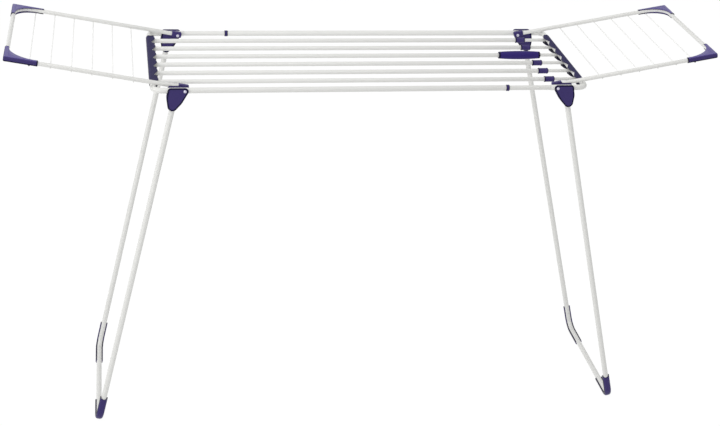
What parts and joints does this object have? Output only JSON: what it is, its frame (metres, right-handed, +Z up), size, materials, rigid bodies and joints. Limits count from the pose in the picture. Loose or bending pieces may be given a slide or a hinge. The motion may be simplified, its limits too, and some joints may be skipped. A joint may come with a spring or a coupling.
{
  "type": "clothes drying rack",
  "caption": "Free-standing indoor drying rack: telescopic frame of white steel rods on two folding U-shaped legs, with two fold-out wings of wires and violet plastic fittings.",
  "frame": {"origin": "on the floor under the middle of the rack, with the frame pushed together", "axes": "+X along the rods towards the end with the twist grip, +Y across the rods, +Z up"},
  "size_m": [2.0492, 0.567, 1.1606],
  "materials": {
    "white_tube": "satin white powder coat on thin steel tube",
    "white_wire": "smooth white plastic-dipped steel wire",
    "violet_plastic": "fine-grained moulded violet plastic",
    "violet_grip_plastic": "deeper violet moulded plastic, slightly smoother",
    "rivet_steel": "bright domed rivet heads",
    "glide_plastic": "natural glide plastic, slightly waxy"
  },
  "bodies": {
    "left_frame": {"left_comb": "violet_plastic", "left_frame_tube": "white_tube", "left_front_hinge_rivet": "rivet_steel", "left_rear_hinge_rivet": "rivet_steel", "left_slide_tube": "white_tube", "left_tube_glide": "glide_plastic", "left_tube_ring": "violet_plastic", "lock_bush": "glide_plastic", "outer_rod_1": "white_tube", "outer_rod_2": "white_tube", "outer_rod_3": "white_tube", "outer_rod_4": "white_tube", "outer_rod_5": "white_tube", "outer_rod_6": "white_tube", "rod_collar_1": "violet_grip_plastic", "rod_collar_2": "violet_grip_plastic", "rod_collar_4": "violet_grip_plastic", "rod_collar_5": "violet_grip_plastic", "rod_collar_6": "violet_grip_plastic"},
    "right_frame": {"right_comb": "violet_plastic", "right_frame_tube": "white_tube", "right_front_hinge_rivet": "rivet_steel", "right_rear_hinge_rivet": "rivet_steel", "right_slide_tube": "white_tube", "right_tube_glide": "glide_plastic", "right_tube_ring": "violet_plastic", "inner_rod_1": "white_tube", "inner_rod_2": "white_tube", "inner_rod_3": "white_tube", "inner_rod_4": "white_tube", "inner_rod_5": "white_tube", "inner_rod_6": "white_tube", "rod_glides": "glide_plastic"},
    "left_wing": {"left_front_wing_cap": "violet_plastic", "left_front_wing_corner": "violet_plastic", "left_rear_wing_cap": "violet_plastic", "left_rear_wing_corner": "violet_plastic", "left_wing_stops": "white_wire", "left_wing_tube": "white_tube", "left_wing_wires": "white_wire"},
    "right_wing": {"right_front_wing_cap": "violet_plastic", "right_front_wing_corner": "violet_plastic", "right_rear_wing_cap": "violet_plastic", "right_rear_wing_corner": "violet_plastic", "right_wing_stops": "white_wire", "right_wing_tube": "white_tube", "right_wing_wires": "white_wire"},
    "left_legs": {"left_front_foot_piece": "violet_plastic", "left_front_leg_bracket": "violet_plastic", "left_leg_tube": "white_tube", "left_rear_foot_piece": "violet_plastic", "left_rear_leg_bracket": "violet_plastic"},
    "right_legs": {"right_front_foot_piece": "violet_plastic", "right_front_leg_bracket": "violet_plastic", "right_leg_tube": "white_tube", "right_rear_foot_piece": "violet_plastic", "right_rear_leg_bracket": "violet_plastic"},
    "grip": {"twist_grip": "violet_grip_plastic"}
  },
  "joints": [
    {"name": "frame_extension", "type": "slide", "parent": "left_frame", "child": "right_frame", "axis": [1, 0, 0], "range_m": [0, 0.45]},
    {"name": "left_wing_fold", "type": "hinge", "parent": "left_frame", "child": "left_wing", "pos_m": [-0.536, 0, 1.062], "axis": [0, 1, 0], "range_deg": [0, 165]},
    {"name": "right_wing_fold", "type": "hinge", "parent": "right_frame", "child": "right_wing", "pos_m": [0.536, 0, 1.062], "axis": [0, -1, 0], "range_deg": [0, 165]},
    {"name": "left_leg_fold", "type": "hinge", "parent": "left_frame", "child": "left_legs", "pos_m": [-0.536, 0, 1.062], "axis": [0, -1, 0], "range_deg": [0, 102.8]},
    {"name": "right_leg_fold", "type": "hinge", "parent": "right_frame", "child": "right_legs", "pos_m": [0.536, 0, 1.062], "axis": [0, 1, 0], "range_deg": [0, 100]},
    {"name": "grip_twist", "type": "hinge", "parent": "left_frame", "child": "grip", "pos_m": [0.5, 0.0385, 1.062], "axis": [1, 0, 0], "range_deg": [0, 90]}
  ]
}
